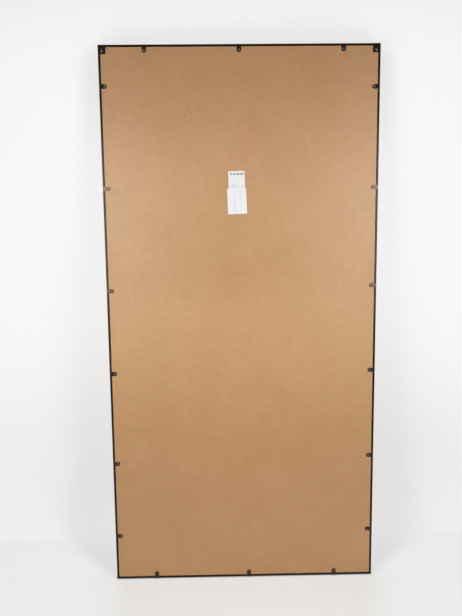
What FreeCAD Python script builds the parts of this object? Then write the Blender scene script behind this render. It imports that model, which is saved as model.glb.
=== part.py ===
import FreeCAD
import Part
import math
import os
from collections import namedtuple

import Sketcher
from FreeCAD import Rotation, Vector

# A tall framed mirror, all lengths in millimetres.
# The mirror faces -Y, its back faces +Y, and Z points up from the bottom edge.
# Left and right are as seen from the front, so right lies on +X.

SIZES = [
    # Frame: four mitred steel members of L section, a wall with a lip at the front
    ("frame_width", 900.0, "outside width"),
    ("frame_height", 1800.0, "outside height"),
    ("wall_thickness", 6.0, "wall of a member, which shows from behind"),
    ("lip_width", 13.0, "front face of a member"),
    ("lip_thickness", 4.0, "lip that holds the mirror in"),
    ("corner_radius", 5.0, "outside corners of the frame"),
    ("frame_edge_radius", 0.6, "rounding of the long edges of a member"),
    # Layers between the lip and the back, from front to rear
    ("tape_thickness", 1.0, "foam glazing tape behind the lip"),
    ("tape_width", 4.0, "glazing tape"),
    ("glass_thickness", 4.0, "mirror"),
    ("foam_thickness", 3.0, "liner between mirror and back panel"),
    ("panel_thickness", 6.0, "fibreboard back panel, flush with the frame"),
    ("glass_clearance", 2.0, "between the mirror's edge and the wall"),
    ("panel_clearance", 1.5, "between the panel's edge and the wall"),
    ("block_length", 60.0, "rubber block under the mirror"),
    # Retaining tabs, welded to the rear edge of the frame
    ("weld_setback", 0.5, "from the frame's outside to a welded plate"),
    ("tab_width", 14.0, "tab, with a half round inner end"),
    ("tab_reach", 25.0, "from the frame's outside to the end of a tab"),
    ("tab_thickness", 1.5, "tab"),
    ("tab_edge_radius", 0.35, "rounding of a tab's rear edges"),
    # Pan head screws, one in each tab
    ("screw_diameter", 3.5, "shank"),
    ("head_diameter", 7.2, "head"),
    ("head_height", 2.2, "head, at its crown"),
    ("head_rim", 0.9, "straight rim of the head"),
    ("point_length", 2.0, "screw point"),
    ("recess_length", 4.0, "cross recess, tip to tip"),
    ("recess_width", 1.1, "arm of the cross recess"),
    ("recess_depth", 1.1, "cross recess below the crown"),
    ("tab_hole_clearance", 0.3, "round the shank in a tab"),
    ("pilot_clearance", 0.05, "round the shank in the panel"),
    ("pilot_floor", 0.8, "panel left below a pilot hole"),
    ("point_gap", 0.2, "below the screw point"),
    # Hanger plates with a keyhole, welded over the top corners
    ("hanger_width", 24.0, "plate"),
    ("hanger_height", 28.0, "plate"),
    ("hanger_thickness", 2.0, "plate"),
    ("hanger_corner_radius", 1.0, "corners of the plate"),
    ("hanger_edge_radius", 0.4, "rounding of the plate's rear edges"),
    ("hanger_lap", 3.0, "plate resting on the panel, beyond the notch"),
    ("entry_radius", 4.0, "round entry of the keyhole"),
    ("entry_drop", 19.5, "from the top of the plate to the entry's centre"),
    ("slot_width", 4.5, "slot of the keyhole"),
    ("slot_rise", 6.5, "from the entry's centre up to the slot's end centre"),
    # Paper labels, the lower one stuck over the end of the upper one
    ("label_thickness", 0.2, "paper"),
    ("upper_label_width", 53.5, "upper label"),
    ("upper_label_height", 68.0, "upper label"),
    ("lower_label_width", 62.5, "lower label"),
    ("lower_label_height", 83.0, "lower label"),
    ("label_overlap", 13.0, "upper label under the lower one"),
    ("label_shift", 1.0, "upper label's centre to the right of the lower one's"),
]

# Where the tabs stand along each edge, as shares of its length from its middle
TAB_SHARES = {
    "top": (-0.3375, -0.0025, 0.3685),
    "bottom": (0.344, -0.0175, -0.352),
    "right": (0.4295, 0.2515, 0.066, -0.090, -0.266, -0.412),
    "left": (-0.426, -0.250, -0.0715, 0.089, 0.256, 0.4055),
}
# Setting blocks stand at the quarter points below the mirror
BLOCK_SHARES = {"left": -0.25, "right": 0.25}
# Centre of the lower label, as shares of the frame's width and height
LABEL_X_SHARE = 0.0144
LABEL_Z_SHARE = 0.7272
# Labels were stuck on by hand, so each is turned a little
UPPER_LABEL_TURN = 1.5
LOWER_LABEL_TURN = 2.0
# Screws end at odd angles: each is turned this much further than the last
SCREW_TURN_STEP = 137.5
MITRE_ANGLE = 135.0
RIGHT_ANGLE = 90.0
NEAR = 1e-6

doc = FreeCAD.newDocument("framed_mirror")
sheet = doc.addObject("Spreadsheet::Sheet", "Sizes")
for row, (alias, value, note) in enumerate(SIZES, start=1):
    sheet.set(f"A{row}", alias)
    sheet.set(f"B{row}", str(value))
    sheet.setAlias(f"B{row}", alias)
    sheet.set(f"C{row}", note)
doc.recompute()

# Derived sizes, as expressions on the sheet
WIDTH = "Sizes.frame_width"
HEIGHT = "Sizes.frame_height"
WALL = "Sizes.wall_thickness"
FRAME_DEPTH = (
    "(Sizes.lip_thickness + Sizes.tape_thickness + Sizes.glass_thickness"
    " + Sizes.foam_thickness + Sizes.panel_thickness)"
)
FRONT_Y = f"(-({FRAME_DEPTH} + Sizes.tab_thickness + Sizes.head_height) / 2)"
TAPE_Y = f"({FRONT_Y} + Sizes.lip_thickness)"
GLASS_Y = f"({TAPE_Y} + Sizes.tape_thickness)"
FOAM_Y = f"({GLASS_Y} + Sizes.glass_thickness)"
PANEL_Y = f"({FOAM_Y} + Sizes.foam_thickness)"
REAR_Y = f"({FRONT_Y} + {FRAME_DEPTH})"
HEAD_Y = f"({REAR_Y} + Sizes.tab_thickness)"
GLASS_INSET = f"({WALL} + Sizes.glass_clearance)"
PANEL_INSET = f"({WALL} + Sizes.panel_clearance)"
SCREW_INSET = "(Sizes.tab_reach - Sizes.tab_width / 2)"
PILOT_DEPTH = "(Sizes.panel_thickness - Sizes.pilot_floor)"
SHANK_LENGTH = f"(Sizes.tab_thickness + {PILOT_DEPTH} - Sizes.point_gap)"
HANGER_X = f"({WIDTH} / 2 - Sizes.weld_setback - Sizes.hanger_width / 2)"

# Each edge of the frame: the turn about Y that brings a piece drawn for the bottom edge to it,
# its length, the place of its middle, and its own directions along and inward as (x, z)
Edge = namedtuple("Edge", "turn length x z along inward")
EDGES = {
    "bottom": Edge(0, WIDTH, "0", "0", (1, 0), (0, 1)),
    "top": Edge(180, WIDTH, "0", HEIGHT, (-1, 0), (0, -1)),
    "right": Edge(-90, HEIGHT, f"{WIDTH} / 2", f"{HEIGHT} / 2", (0, 1), (-1, 0)),
    "left": Edge(90, HEIGHT, f"-{WIDTH} / 2", f"{HEIGHT} / 2", (0, -1), (1, 0)),
}

pieces = []


def number(expression):
    """Value of an expression on the sheet."""
    return float(sheet.evalExpression(expression))


def spot(edge, along, inset):
    """Expressions for x and z of a point along an edge from its middle and inward from it."""
    x = f"{edge.x} + {edge.along[0]} * ({along}) + {edge.inward[0]} * ({inset})"
    z = f"{edge.z} + {edge.along[1]} * ({along}) + {edge.inward[1]} * ({inset})"
    return x, z


def place(piece, x, y, z, turn=0):
    """Turn a piece about Y and tie its place to the sheet."""
    piece.Placement.Rotation = Rotation(Vector(0, 1, 0), turn)
    piece.setExpression("Placement.Base.x", x)
    piece.setExpression("Placement.Base.y", y)
    piece.setExpression("Placement.Base.z", z)
    return piece


def new_body(name):
    """An empty body for one piece."""
    body = doc.addObject("PartDesign::Body", name)
    body.Label = name
    pieces.append(body)
    return body


def new_box(name, length, width, height, kept=True):
    """A plain block, length along X, width along Y and height along Z."""
    box = doc.addObject("Part::Box", name)
    box.Label = name
    box.setExpression("Length", length)
    box.setExpression("Width", width)
    box.setExpression("Height", height)
    if kept:
        pieces.append(box)
    return box


def new_sketch(body, role, name):
    """A sketch on one of the body's own origin planes."""
    plane = next(item for item in body.Origin.OriginFeatures if item.Role == role)
    sketch = body.newObject("Sketcher::SketchObject", f"{body.Name}_{name}")
    sketch.AttachmentSupport = (plane, [""])
    sketch.MapMode = "FlatFace"
    return sketch


def dimension(sketch, expression, kind, *where):
    """A dimension of the sketch, tied to the sheet."""
    index = sketch.addConstraint(Sketcher.Constraint(kind, *where, number(expression)))
    sketch.setExpression(f"Constraints[{index}]", expression)


def constrain(sketch, *constraints):
    """Geometric constraints of the sketch, each a kind and what it joins."""
    for constraint in constraints:
        sketch.addConstraint(Sketcher.Constraint(*constraint))


def line(start, end):
    """A straight stretch between two points of a sketch."""
    return Part.LineSegment(Vector(*start, 0), Vector(*end, 0))


def arc(centre, radius, start, end):
    """A round stretch about a centre, from one angle in degrees round to another."""
    circle = Part.Circle(Vector(*centre, 0), Vector(0, 0, 1), radius)
    return Part.ArcOfCircle(circle, math.radians(start), math.radians(end))


def pad(body, sketch, length, name):
    """Raise a sketch on the XZ plane towards the rear, +Y."""
    feature = body.newObject("PartDesign::Pad", f"{body.Name}_{name}")
    feature.Profile = sketch
    feature.Reversed = True
    feature.setExpression("Length", length)
    doc.recompute()
    return feature


def pocket(body, sketch, depth, name):
    """Sink a sketch that lies on a rear face towards the front, -Y."""
    before = body.Shape.Volume
    feature = body.newObject("PartDesign::Pocket", f"{body.Name}_{name}")
    feature.Profile = sketch
    feature.Reversed = True
    feature.setExpression("Length", depth)
    doc.recompute()
    if body.Shape.Volume >= before:
        raise RuntimeError(f"{feature.Name} cuts nothing")
    return feature


def round_edges(body, radius, name, wanted):
    """Round the edges of the body's last feature that a test picks out."""
    base = body.Tip
    names = [f"Edge{i}" for i, edge in enumerate(base.Shape.Edges, start=1) if wanted(edge)]
    fillet = body.newObject("PartDesign::Fillet", f"{body.Name}_{name}")
    fillet.Base = (base, names)
    fillet.setExpression("Radius", radius)
    doc.recompute()
    return fillet


def is_straight(edge):
    """Whether an edge is a straight line."""
    return isinstance(edge.Curve, Part.Line)


def lies_at(edge, y):
    """Whether an edge lies in the plane at this depth."""
    return all(abs(vertex.Point.y - y) < NEAR for vertex in edge.Vertexes)


def rectangle(sketch, left, bottom, width, height):
    """A rectangle by its lower left corner and its size, all expressions."""
    x0, z0 = number(left), number(bottom)
    x1, z1 = x0 + number(width), z0 + number(height)
    corners = [(x0, z0), (x1, z0), (x1, z1), (x0, z1)]
    first = sketch.GeometryCount
    for i, start in enumerate(corners):
        sketch.addGeometry(line(start, corners[(i + 1) % len(corners)]))
    low, right, high, side = range(first, first + len(corners))
    constrain(
        sketch,
        ("Coincident", low, 2, right, 1),
        ("Coincident", right, 2, high, 1),
        ("Coincident", high, 2, side, 1),
        ("Coincident", side, 2, low, 1),
        ("Horizontal", low),
        ("Vertical", right),
        ("Horizontal", high),
        ("Vertical", side),
    )
    dimension(sketch, left, "DistanceX", -1, 1, low, 1)
    dimension(sketch, bottom, "DistanceY", -1, 1, low, 1)
    dimension(sketch, width, "DistanceX", low, 1, low, 2)
    dimension(sketch, height, "DistanceY", right, 1, right, 2)


def mitred_outline(sketch, length, depth):
    """A strip on the bottom edge, mitred at both ends, with its outer corners rounded."""
    half, inner, radius = number(length) / 2, number(depth), number("Sizes.corner_radius")
    trim = radius * (1 - math.cos(math.radians(MITRE_ANGLE - RIGHT_ANGLE)))
    sketch.addGeometry(line((radius - half, 0), (half - radius, 0)))
    sketch.addGeometry(arc((half - radius, radius), radius, 3 * RIGHT_ANGLE, MITRE_ANGLE + 180))
    sketch.addGeometry(line((half - trim, trim), (half - inner, inner)))
    sketch.addGeometry(line((half - inner, inner), (inner - half, inner)))
    sketch.addGeometry(line((inner - half, inner), (trim - half, trim)))
    sketch.addGeometry(arc((radius - half, radius), radius, RIGHT_ANGLE + MITRE_ANGLE, 3 * RIGHT_ANGLE))
    outer, right_arc, right_mitre, inside, left_mitre, left_arc = range(sketch.GeometryCount)
    constrain(
        sketch,
        ("Tangent", outer, 2, right_arc, 1),
        ("Coincident", right_arc, 2, right_mitre, 1),
        ("Coincident", right_mitre, 2, inside, 1),
        ("Coincident", inside, 2, left_mitre, 1),
        ("Coincident", left_mitre, 2, left_arc, 1),
        ("Tangent", left_arc, 2, outer, 1),
        ("PointOnObject", outer, 1, -1),
        ("Symmetric", outer, 1, outer, 2, -2),
        ("Symmetric", inside, 1, inside, 2, -2),
        ("Equal", right_arc, left_arc),
        ("Angle", right_mitre, math.radians(MITRE_ANGLE)),
        ("Angle", left_mitre, -math.radians(MITRE_ANGLE)),
    )
    dimension(sketch, "Sizes.corner_radius", "Radius", right_arc)
    dimension(sketch, f"{length} - 2 * Sizes.corner_radius", "DistanceX", outer, 1, outer, 2)
    dimension(sketch, f"{length} - 2 * {depth}", "DistanceX", inside, 2, inside, 1)
    dimension(sketch, depth, "DistanceY", -1, 1, inside, 1)


def frame_member(name, edge):
    """One mitred member of the frame: its wall, its lip, and rounded long edges."""
    body = new_body(name)
    wall = new_sketch(body, "XZ_Plane", "wall_outline")
    mitred_outline(wall, edge.length, WALL)
    pad(body, wall, FRAME_DEPTH, "wall")
    lip = new_sketch(body, "XZ_Plane", "lip_outline")
    mitred_outline(lip, edge.length, "Sizes.lip_width")
    pad(body, lip, "Sizes.lip_thickness", "lip")
    depth, lip_width = number(FRAME_DEPTH), number("Sizes.lip_width")
    # front and rear edges of the outer face, and the front edge round the mirror
    long_edges = [(0, 0), (depth, 0), (0, lip_width)]

    def is_long_edge(side):
        """Whether a straight edge runs along one of these lines."""
        ends = [(vertex.Point.y, vertex.Point.z) for vertex in side.Vertexes]
        return is_straight(side) and any(
            all(math.dist(end, corner) < NEAR for end in ends) for corner in long_edges
        )

    round_edges(body, "Sizes.frame_edge_radius", "long_edges", is_long_edge)
    return place(body, edge.x, FRONT_Y, edge.z, edge.turn)


def tape_strip(name, edge, ends):
    """A strip of glazing tape on the lip, its ends held in from the mirror's corners."""
    length = f"{edge.length} - 2 * {GLASS_INSET} - 2 * ({ends})"
    strip = new_box(name, length, "Sizes.tape_thickness", "Sizes.tape_width")
    x, z = spot(edge, f"-({length}) / 2", GLASS_INSET)
    return place(strip, x, TAPE_Y, z, edge.turn)


def sheet_layer(name, y, thickness):
    """A full sheet between the walls, as large as the mirror."""
    layer = new_box(name, f"{WIDTH} - 2 * {GLASS_INSET}", thickness, f"{HEIGHT} - 2 * {GLASS_INSET}")
    return place(layer, f"{GLASS_INSET} - {WIDTH} / 2", y, GLASS_INSET)


def setting_block(name, share):
    """A rubber block that carries the mirror on the bottom member."""
    block = new_box(name, "Sizes.block_length", "Sizes.glass_thickness", "Sizes.glass_clearance")
    return place(block, f"{share} * {WIDTH} - Sizes.block_length / 2", GLASS_Y, WALL)


def back_panel(screw_places):
    """The fibreboard back, notched behind the hangers and drilled for the screws."""
    body = new_body("back_panel")
    outline = new_sketch(body, "XZ_Plane", "outline")
    left, width = f"{PANEL_INSET} - {WIDTH} / 2", f"{WIDTH} - 2 * {PANEL_INSET}"
    rectangle(outline, left, PANEL_INSET, width, f"{HEIGHT} - 2 * {PANEL_INSET}")
    pad(body, outline, "Sizes.panel_thickness", "board")

    notches = new_sketch(body, "XZ_Plane", "notches")
    notches.setExpression("AttachmentOffset.Base.z", "-Sizes.panel_thickness")
    notch_width = f"Sizes.weld_setback + Sizes.hanger_width - Sizes.hanger_lap - {PANEL_INSET}"
    notch_height = f"Sizes.weld_setback + Sizes.hanger_height - Sizes.hanger_lap - {PANEL_INSET}"
    notch_bottom = f"{HEIGHT} - {PANEL_INSET} - ({notch_height})"
    rectangle(notches, left, notch_bottom, notch_width, notch_height)
    notch_left = f"{WIDTH} / 2 - {PANEL_INSET} - ({notch_width})"
    rectangle(notches, notch_left, notch_bottom, notch_width, notch_height)
    pocket(body, notches, "Sizes.panel_thickness", "hanger_notches")

    holes = new_sketch(body, "XZ_Plane", "holes")
    holes.setExpression("AttachmentOffset.Base.z", "-Sizes.panel_thickness")
    hole_radius = "Sizes.screw_diameter / 2 + Sizes.pilot_clearance"
    for x, z in screw_places:
        centre = Vector(number(x), number(z), 0)
        hole = holes.addGeometry(Part.Circle(centre, Vector(0, 0, 1), number(hole_radius)))
        dimension(holes, hole_radius, "Radius", hole)
        dimension(holes, x, "DistanceX", -1, 1, hole, 3)
        dimension(holes, z, "DistanceY", -1, 1, hole, 3)
    pocket(body, holes, PILOT_DEPTH, "pilot_holes")
    return place(body, "0", PANEL_Y, "0")


def retaining_tab(name, edge, along):
    """A flat tab with a half round inner end and a screw hole at that end's centre."""
    body = new_body(name)
    sketch = new_sketch(body, "XZ_Plane", "outline")
    half, start, centre = number("Sizes.tab_width") / 2, number("Sizes.weld_setback"), number(SCREW_INSET)
    hole_radius = "Sizes.screw_diameter / 2 + Sizes.tab_hole_clearance"
    sketch.addGeometry(line((-half, start), (half, start)))
    sketch.addGeometry(line((half, start), (half, centre)))
    sketch.addGeometry(arc((0, centre), half, 0, 180))
    sketch.addGeometry(line((-half, centre), (-half, start)))
    sketch.addGeometry(Part.Circle(Vector(0, centre, 0), Vector(0, 0, 1), number(hole_radius)))
    end, right, nose, left, hole = range(sketch.GeometryCount)
    constrain(
        sketch,
        ("Coincident", end, 2, right, 1),
        ("Tangent", right, 2, nose, 1),
        ("Tangent", nose, 2, left, 1),
        ("Coincident", left, 2, end, 1),
        ("Horizontal", end),
        ("Vertical", right),
        ("Vertical", left),
        ("PointOnObject", nose, 3, -2),
        ("Coincident", hole, 3, nose, 3),
    )
    dimension(sketch, "Sizes.tab_width", "DistanceX", end, 1, end, 2)
    dimension(sketch, "Sizes.weld_setback", "DistanceY", -1, 1, end, 1)
    dimension(sketch, SCREW_INSET, "DistanceY", -1, 1, nose, 3)
    dimension(sketch, hole_radius, "Radius", hole)
    pad(body, sketch, "Sizes.tab_thickness", "plate")
    rear = number("Sizes.tab_thickness")
    round_edges(
        body,
        "Sizes.tab_edge_radius",
        "rear_edges",
        lambda side: is_straight(side) and lies_at(side, rear),
    )
    x, z = spot(edge, along, "0")
    return place(body, x, REAR_Y, z, edge.turn)


def pan_head_screw(name, x, z, turn):
    """A pointed screw with a crowned pan head and a cross recess, its axis along Y."""
    body = new_body(name)
    profile = new_sketch(body, "XY_Plane", "profile")
    shank, head = number("Sizes.screw_diameter") / 2, number("Sizes.head_diameter") / 2
    crown, rim = number("Sizes.head_height"), number("Sizes.head_rim")
    length, point = number(SHANK_LENGTH), number("Sizes.point_length")
    dome = (head**2 + (crown - rim) ** 2) / (2 * (crown - rim))
    rim_angle = math.degrees(math.acos(head / dome))
    profile.addGeometry(line((0, -length), (shank, point - length)))
    profile.addGeometry(line((shank, point - length), (shank, 0)))
    profile.addGeometry(line((shank, 0), (head, 0)))
    profile.addGeometry(line((head, 0), (head, rim)))
    profile.addGeometry(arc((0, crown - dome), dome, rim_angle, RIGHT_ANGLE))
    profile.addGeometry(line((0, crown), (0, -length)))
    tip, side, seat, edge, top, axis = range(profile.GeometryCount)
    constrain(
        profile,
        ("Coincident", tip, 2, side, 1),
        ("Coincident", side, 2, seat, 1),
        ("Coincident", seat, 2, edge, 1),
        ("Coincident", edge, 2, top, 1),
        ("Coincident", top, 2, axis, 1),
        ("Coincident", axis, 2, tip, 1),
        ("Vertical", side),
        ("Horizontal", seat),
        ("Vertical", edge),
        ("PointOnObject", tip, 1, -2),
        ("PointOnObject", top, 2, -2),
        ("PointOnObject", top, 3, -2),
        ("PointOnObject", seat, 1, -1),
    )
    dimension(profile, "Sizes.screw_diameter / 2", "DistanceX", -1, 1, side, 2)
    dimension(profile, "Sizes.head_diameter / 2", "DistanceX", -1, 1, edge, 1)
    dimension(profile, "Sizes.head_rim", "DistanceY", edge, 1, edge, 2)
    dimension(profile, "Sizes.head_height", "DistanceY", -1, 1, top, 2)
    dimension(profile, SHANK_LENGTH, "DistanceY", tip, 1, -1, 1)
    dimension(profile, "Sizes.point_length", "DistanceY", tip, 1, tip, 2)
    turned = body.newObject("PartDesign::Revolution", f"{body.Name}_turned")
    turned.Profile = profile
    turned.ReferenceAxis = (profile, ["V_Axis"])
    doc.recompute()

    arms = [("Sizes.recess_length", "Sizes.recess_width"), ("Sizes.recess_width", "Sizes.recess_length")]
    for i, (width, height) in enumerate(arms, start=1):
        slot = new_sketch(body, "XZ_Plane", f"recess_outline_{i}")
        slot.setExpression("AttachmentOffset.Base.z", "-Sizes.head_height")
        rectangle(slot, f"-{width} / 2", f"-{height} / 2", width, height)
        pocket(body, slot, "Sizes.recess_depth", f"recess_{i}")
    return place(body, x, HEAD_Y, z, turn)


def hanger_plate(name, x):
    """A plate with a keyhole, drawn about the centre of the keyhole's round entry."""
    body = new_body(name)
    sketch = new_sketch(body, "XZ_Plane", "outline")
    rectangle(
        sketch,
        "-Sizes.hanger_width / 2",
        "Sizes.entry_drop - Sizes.hanger_height",
        "Sizes.hanger_width",
        "Sizes.hanger_height",
    )
    entry, slot, rise = number("Sizes.entry_radius"), number("Sizes.slot_width") / 2, number("Sizes.slot_rise")
    mouth = math.sqrt(entry**2 - slot**2)
    mouth_angle = math.degrees(math.asin(slot / entry))
    first = sketch.GeometryCount
    sketch.addGeometry(arc((0, 0), entry, RIGHT_ANGLE + mouth_angle, RIGHT_ANGLE + 360 - mouth_angle))
    sketch.addGeometry(line((slot, mouth), (slot, rise)))
    sketch.addGeometry(arc((0, rise), slot, 0, 180))
    sketch.addGeometry(line((-slot, rise), (-slot, mouth)))
    round_entry, right, slot_end, left = range(first, sketch.GeometryCount)
    constrain(
        sketch,
        ("Coincident", round_entry, 3, -1, 1),
        ("Coincident", round_entry, 2, right, 1),
        ("Tangent", right, 2, slot_end, 1),
        ("Tangent", slot_end, 2, left, 1),
        ("Coincident", left, 2, round_entry, 1),
        ("Vertical", right),
        ("Vertical", left),
        ("PointOnObject", slot_end, 3, -2),
    )
    dimension(sketch, "Sizes.entry_radius", "Radius", round_entry)
    dimension(sketch, "Sizes.slot_width / 2", "Radius", slot_end)
    dimension(sketch, "Sizes.slot_rise", "DistanceY", -1, 1, slot_end, 3)
    pad(body, sketch, "Sizes.hanger_thickness", "plate")
    side = number("Sizes.hanger_width") / 2
    rear = number("Sizes.hanger_thickness")
    round_edges(
        body,
        "Sizes.hanger_corner_radius",
        "corners",
        lambda edge: is_straight(edge)
        and all(abs(abs(vertex.Point.x) - side) < NEAR for vertex in edge.Vertexes)
        and not lies_at(edge, edge.Vertexes[0].Point.y),
    )
    round_edges(
        body,
        "Sizes.hanger_edge_radius",
        "rear_edges",
        lambda edge: is_straight(edge)
        and lies_at(edge, rear)
        and any(abs(vertex.Point.x) > number("Sizes.entry_radius") for vertex in edge.Vertexes),
    )
    return place(body, x, REAR_Y, f"{HEIGHT} - Sizes.weld_setback - Sizes.entry_drop")


def label(name, width, height, layers, centre, turn, kept=True):
    """A paper label on the panel, placed by its centre and turned about it."""
    paper = new_box(name, width, f"{layers} * Sizes.label_thickness", height, kept)
    x, z = centre
    lean = f"({turn} * 1 deg)"
    corner_x = f"{x} - {width} / 2 * cos{lean} - {height} / 2 * sin{lean}"
    corner_z = f"{z} + {width} / 2 * sin{lean} - {height} / 2 * cos{lean}"
    return place(paper, corner_x, REAR_Y, corner_z, turn)


# The frame and what it holds, from front to rear
for edge_name, member in (("top", "rail"), ("bottom", "rail"), ("left", "stile"), ("right", "stile")):
    frame_member(f"{edge_name}_{member}", EDGES[edge_name])
    tape_ends = "0" if member == "rail" else "Sizes.tape_width"
    tape_strip(f"glazing_tape_{edge_name}", EDGES[edge_name], tape_ends)
for side_name, block_share in BLOCK_SHARES.items():
    setting_block(f"setting_block_{side_name}", block_share)
sheet_layer("mirror_glass", GLASS_Y, "Sizes.glass_thickness")
sheet_layer("foam_liner", FOAM_Y, "Sizes.foam_thickness")

# Tabs and screws along each edge
screw_spots = []
for edge_name, shares in TAB_SHARES.items():
    tab_edge = EDGES[edge_name]
    for count, tab_share in enumerate(shares, start=1):
        tab_along = f"{tab_share} * {tab_edge.length}"
        retaining_tab(f"tab_{edge_name}_{count}", tab_edge, tab_along)
        screw_spots.append(spot(tab_edge, tab_along, SCREW_INSET))
        pan_head_screw(
            f"screw_{edge_name}_{count}", *screw_spots[-1], SCREW_TURN_STEP * len(screw_spots)
        )
back_panel(screw_spots)

# Hangers at the top corners
hanger_plate("hanger_plate_left", f"-{HANGER_X}")
hanger_plate("hanger_plate_right", HANGER_X)

# Labels: the lower one takes up the step where it lies over the upper one
lower_centre = (f"{LABEL_X_SHARE} * {WIDTH}", f"{LABEL_Z_SHARE} * {HEIGHT}")
upper_centre = (
    f"{lower_centre[0]} + Sizes.label_shift",
    f"{lower_centre[1]} + (Sizes.lower_label_height + Sizes.upper_label_height) / 2 - Sizes.label_overlap",
)
upper_label = label(
    "label_upper", "Sizes.upper_label_width", "Sizes.upper_label_height", 1, upper_centre, UPPER_LABEL_TURN
)
lower_blank = label(
    "label_lower_blank",
    "Sizes.lower_label_width",
    "Sizes.lower_label_height",
    2,
    lower_centre,
    LOWER_LABEL_TURN,
    kept=False,
)
lower_label = doc.addObject("Part::Cut", "label_lower")
lower_label.Base = lower_blank
lower_label.Tool = upper_label
pieces.append(lower_label)

doc.recompute()
for item in doc.Objects:
    if "Invalid" in item.State or "Error" in item.State:
        raise RuntimeError(f"{item.Name} failed: {item.State}")
for piece in pieces:
    if piece.Shape.isNull() or not piece.Shape.isValid() or len(piece.Shape.Solids) != 1:
        raise RuntimeError(f"{piece.Label} isn't one valid solid")

os.makedirs("parts", exist_ok=True)
for piece in pieces:
    piece.Shape.exportStep(f"parts/{piece.Label}.step")
print(f"wrote {len(pieces)} pieces")
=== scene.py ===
"""Looks of a framed full-length wall mirror that the photograph shows from behind.

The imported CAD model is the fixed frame. Its nodes keep their shapes and get procedural finishes, and two
creased paper labels are worked out with numpy to stand for the plain label solids. Lengths are in metres in
the CAD frame: X runs across the mirror, -Y is the side of the glass, +Y the back, and Z is up.
"""

import logging
import math
from dataclasses import dataclass
from enum import Enum
from functools import cached_property
from typing import Any, Iterable, Mapping, Optional, Sequence, TypeVar, Union

import bpy
import numpy as np
from mathutils import Matrix, Vector
from numpy.typing import NDArray


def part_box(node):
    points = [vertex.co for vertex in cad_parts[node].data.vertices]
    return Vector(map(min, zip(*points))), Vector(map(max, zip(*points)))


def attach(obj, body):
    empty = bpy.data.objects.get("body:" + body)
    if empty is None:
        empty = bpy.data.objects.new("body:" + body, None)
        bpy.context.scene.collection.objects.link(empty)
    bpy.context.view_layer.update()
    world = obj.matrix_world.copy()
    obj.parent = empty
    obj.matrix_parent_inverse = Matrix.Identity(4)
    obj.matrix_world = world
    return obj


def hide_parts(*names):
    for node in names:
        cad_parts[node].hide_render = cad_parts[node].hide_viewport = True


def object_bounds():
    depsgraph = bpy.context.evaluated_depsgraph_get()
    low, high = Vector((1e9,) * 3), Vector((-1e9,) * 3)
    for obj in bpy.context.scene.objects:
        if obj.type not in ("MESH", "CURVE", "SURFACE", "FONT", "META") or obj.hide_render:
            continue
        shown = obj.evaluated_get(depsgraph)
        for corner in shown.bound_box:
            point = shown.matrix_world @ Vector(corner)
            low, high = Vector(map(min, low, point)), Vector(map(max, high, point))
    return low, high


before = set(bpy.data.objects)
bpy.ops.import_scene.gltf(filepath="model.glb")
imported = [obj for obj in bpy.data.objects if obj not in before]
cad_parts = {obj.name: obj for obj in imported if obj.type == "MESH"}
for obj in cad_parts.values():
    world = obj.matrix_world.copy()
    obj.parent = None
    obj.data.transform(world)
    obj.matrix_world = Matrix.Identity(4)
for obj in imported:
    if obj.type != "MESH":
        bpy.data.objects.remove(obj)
CAD_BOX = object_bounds()

Colour = tuple[float, float, float]
Point = tuple[float, float, float]
Band = tuple[float, float, float]
Span = tuple[float, float]
Pair = tuple[float, float]
Grid = NDArray[np.float64]
Faces = NDArray[np.int64]
Socket = bpy.types.NodeSocket
Tones = tuple[Colour, Colour]
Settings = Optional[Mapping[str, Any]]
Inputs = Optional[Mapping[Union[str, int], Any]]
Operand = Union["Signal", float]
Axes = tuple["Signal", "Signal", "Signal"]
Value = TypeVar("Value", Grid, "Signal")

LOG = logging.getLogger("mirror")
BODY = "root"
SHEET_UV = "sheet"
MILLIMETRE = 0.001
HALF_WIDTH = CAD_BOX[1].x
SHARP_ANGLE = math.radians(35.0)
FOLD_FADE_SHARE = 0.06
BACKGROUND: Colour = (0.955, 0.955, 0.957)


class Side(Enum):
    """The sides of the mirror, as the nodes' names have them."""

    TOP = "top"
    BOTTOM = "bottom"
    LEFT = "left"
    RIGHT = "right"


class Blend(Enum):
    """How a second colour goes on a first."""

    MIX = "MIX"
    TINT = "MULTIPLY"


class Rays(Enum):
    """Kinds of rays, each by the object setting that lets them see it."""

    CAMERA = "visible_camera"
    DIFFUSE = "visible_diffuse"
    GLOSSY = "visible_glossy"
    TRANSMISSION = "visible_transmission"
    SHADOW = "visible_shadow"


class Texture(Enum):
    """What a layer of grain is: soft noise, or small cells."""

    NOISE = "ShaderNodeTexNoise"
    CELLS = "ShaderNodeTexVoronoi"


FLANKS = (Side.LEFT, Side.RIGHT)


@dataclass(frozen=True)
class Grain:
    """A layer of fine variation in a finish.

    Attributes:
        scale: Its cells per metre.
        detail: Number of finer layers in noise.
        warp: How far noise is bent.
        tone: Its share in the tone.
        gloss: How far it moves the roughness.
        height: Its share in the relief.
        texture: What it is.
    """

    scale: float
    detail: float = 3.0
    warp: float = 0.0
    tone: float = 0.0
    gloss: float = 0.0
    height: float = 0.0
    texture: Texture = Texture.NOISE


Layers = tuple[Grain, ...]


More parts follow.
